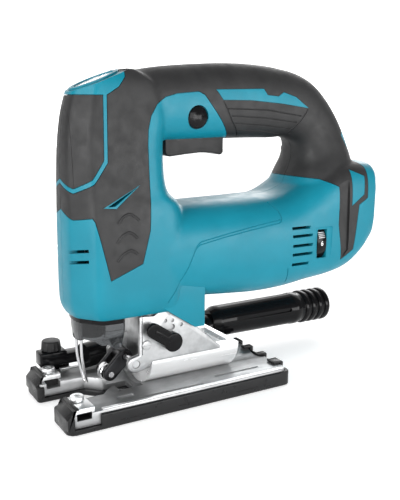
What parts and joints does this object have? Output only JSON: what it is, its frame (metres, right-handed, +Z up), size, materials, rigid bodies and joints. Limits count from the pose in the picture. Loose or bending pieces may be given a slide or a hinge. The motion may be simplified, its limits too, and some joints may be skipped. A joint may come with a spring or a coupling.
{
  "type": "jigsaw power tool",
  "caption": "Cordless top-handle jigsaw: D-handle housing with trigger, cased crank drive, tilting base with plastic shoe, clear dust cover and side dust nozzle.",
  "frame": {"origin": "centre of the sole's underside", "axes": "-X is the cutting direction (nose), +X the battery end, -Y the tool's left side, +Z up from the work"},
  "size_m": [0.2432, 0.0879, 0.2074],
  "materials": {
    "teal_shell": "satin moulded nylon, deep teal",
    "soft_grip": "matt black elastomer overmould",
    "black_plastic": "fine-grained black moulding",
    "gloss_black": "smooth black moulding",
    "cast_alloy": "bead-blasted and machined casting",
    "steel": "ground steel",
    "black_steel": "black-oxidised steel",
    "copper": "copper windings and contacts",
    "clear_cover": "clear smoky polycarbonate",
    "board": "coated circuit board",
    "silver_disc": "spun silver disc"
  },
  "bodies": {
    "base": {"base": "cast_alloy", "cover_shoe": "black_plastic", "splinter_guard": "clear_cover", "base_clamp_bolt": "black_steel", "fence_screw_left": "black_steel", "fence_screw_right": "black_steel", "dust_nozzle": "gloss_black"},
    "tool": {"housing_left": "teal_shell", "housing_right": "teal_shell", "grip_left": "soft_grip", "grip_right": "soft_grip", "nose_pad_left": "soft_grip", "nose_pad_right": "soft_grip", "badge_ring": "teal_shell", "badge_disc": "silver_disc", "housing_screw_1": "black_steel", "housing_screw_2": "black_steel", "housing_screw_3": "black_steel", "housing_screw_4": "black_steel", "switch_body": "black_plastic", "control_board": "board", "battery_rails": "black_plastic", "battery_contact_1": "copper", "battery_contact_2": "copper", "battery_contact_3": "copper", "stator": "steel", "winding_front": "copper", "winding_rear": "copper", "bearing_front": "steel", "bearing_rear": "steel", "lower_guide": "steel", "upper_guide": "steel", "gear_case": "cast_alloy", "arm_pin": "steel", "wire_guard": "steel"},
    "crank": {"crank_gear": "steel"},
    "rotor": {"motor_shaft": "steel", "pinion": "steel", "rotor_core": "steel", "fan": "black_plastic"},
    "plunger": {"plunger": "steel"},
    "clamp": {"blade_clamp": "black_steel"},
    "trigger": {"trigger": "black_plastic"},
    "lock": {"lock_button": "gloss_black"},
    "dial": {"speed_dial": "gloss_black"},
    "orbital": {"orbital_cam": "steel", "orbital_lever": "black_plastic"},
    "arm": {"roller_arm": "black_steel", "roller_pin": "steel"},
    "roller": {"roller": "steel"},
    "cover": {"dust_cover": "clear_cover"},
    "knob": {"nozzle_knob": "gloss_black"}
  },
  "joints": [
    {"name": "bevel_tilt", "type": "hinge", "parent": "base", "child": "tool", "pos_m": [0, 0, 0.03], "axis": [1, 0, 0], "range_deg": [-15, 45]},
    {"name": "crank_turn", "type": "hinge", "parent": "tool", "child": "crank", "pos_m": [0, 0, 0.10965], "axis": [1, 0, 0], "range_deg": [-90, 90]},
    {"name": "rotor_spin", "type": "hinge", "parent": "tool", "child": "rotor", "pos_m": [0, 0, 0.088], "axis": [1, 0, 0], "range_deg": [-455, 455]},
    {"name": "plunger_stroke", "type": "slide", "parent": "tool", "child": "plunger", "axis": [0, 0, 1], "range_m": [-0.0134, 0.0134]},
    {"name": "clamp_twist", "type": "hinge", "parent": "plunger", "child": "clamp", "pos_m": [-0.0465, 0, 0.05], "axis": [0, 0, 1], "range_deg": [0, 45], "stiffness_Nm_per_rad": 0.05},
    {"name": "trigger_pull", "type": "slide", "parent": "tool", "child": "trigger", "axis": [0, 0, 1], "range_m": [0, 0.006], "stiffness_N_per_m": 500, "springref_m": -0.002},
    {"name": "lock_press", "type": "slide", "parent": "tool", "child": "lock", "axis": [0, 1, 0], "range_m": [0, 0.003], "stiffness_N_per_m": 400, "springref_m": -0.0005},
    {"name": "dial_turn", "type": "hinge", "parent": "tool", "child": "dial", "pos_m": [0.102, -0.0206, 0.0923], "axis": [1, 0, 0], "range_deg": [-225, 0]},
    {"name": "orbital_select", "type": "hinge", "parent": "tool", "child": "orbital", "pos_m": [-0.006, -0.02, 0.0405], "axis": [0, 1, 0], "range_deg": [0, 90]},
    {"name": "arm_swing", "type": "hinge", "parent": "tool", "child": "arm", "pos_m": [-0.028, 0, 0.0282], "axis": [0, 1, 0], "range_deg": [0, 6]},
    {"name": "roller_spin", "type": "hinge", "parent": "arm", "child": "roller", "pos_m": [-0.038, 0, 0.0185], "axis": [0, 1, 0], "continuous": true},
    {"name": "cover_slide", "type": "slide", "parent": "tool", "child": "cover", "axis": [0, 0, -1], "range_m": [0, 0.018]},
    {"name": "knob_turn", "type": "hinge", "parent": "base", "child": "knob", "pos_m": [-0.061, 0.0365, 0.026], "axis": [0, 0, 1], "continuous": true}
  ],
  "couplings": [
    {"joint": "rotor_spin", "follows": "crank_turn", "ratio": -5},
    {"joint": "plunger_stroke", "follows": "crank_turn", "m_per_rad": 0.0082761},
    {"joint": "arm_swing", "follows": "orbital_select", "ratio": 0.055556}
  ]
}
